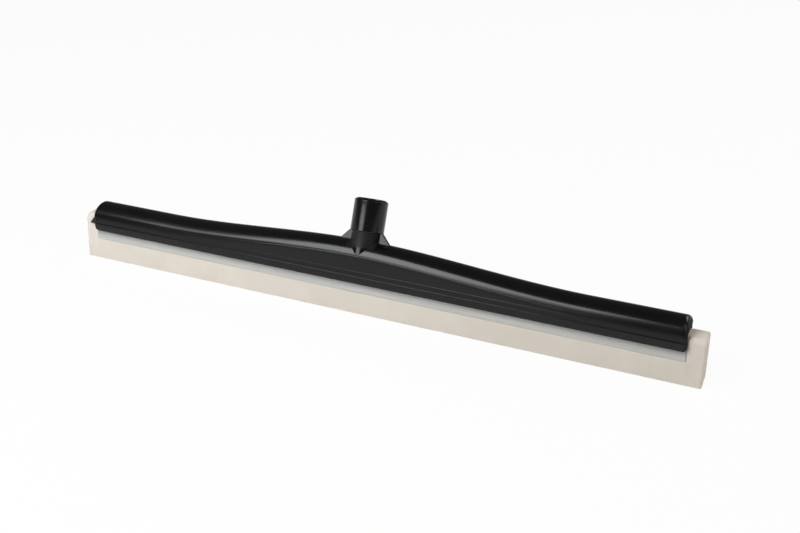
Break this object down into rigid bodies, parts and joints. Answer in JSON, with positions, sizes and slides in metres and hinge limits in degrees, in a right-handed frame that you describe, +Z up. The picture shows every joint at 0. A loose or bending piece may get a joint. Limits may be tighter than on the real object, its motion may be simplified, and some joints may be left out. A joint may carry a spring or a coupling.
{
  "type": "floor squeegee",
  "caption": "Wide floor squeegee head: moulded round-topped bar with a leaning handle socket, and a slide-in cassette that holds a folded foam blade with twin wiping lips.",
  "frame": {"origin": "on the floor, under the middle of the whole object's box; the blade's middle plane lies a few millimetres in front of it", "axes": "+X along the blade to the open end of the slot, +Y to the back where the socket leans, +Z up from the floor"},
  "size_m": [0.6064, 0.0458, 0.1054],
  "materials": {
    "body_plastic": "black moulded polypropylene, satin with a fine grain",
    "cassette_plastic": "light grey extruded plastic, satin",
    "blade_foam": "cream closed-cell foam rubber, matt with fine pores",
    "core_plastic": "grey extruded plastic, matt"
  },
  "bodies": {
    "body": {"squeegee_body": "body_plastic"},
    "cassette": {"cassette_channel": "cassette_plastic", "foam_blade": "blade_foam", "blade_core": "core_plastic"}
  },
  "joints": [
    {"name": "cassette_slide", "type": "slide", "parent": "body", "child": "cassette", "axis": [1, 0, 0], "range_m": [0, 0.575]}
  ]
}
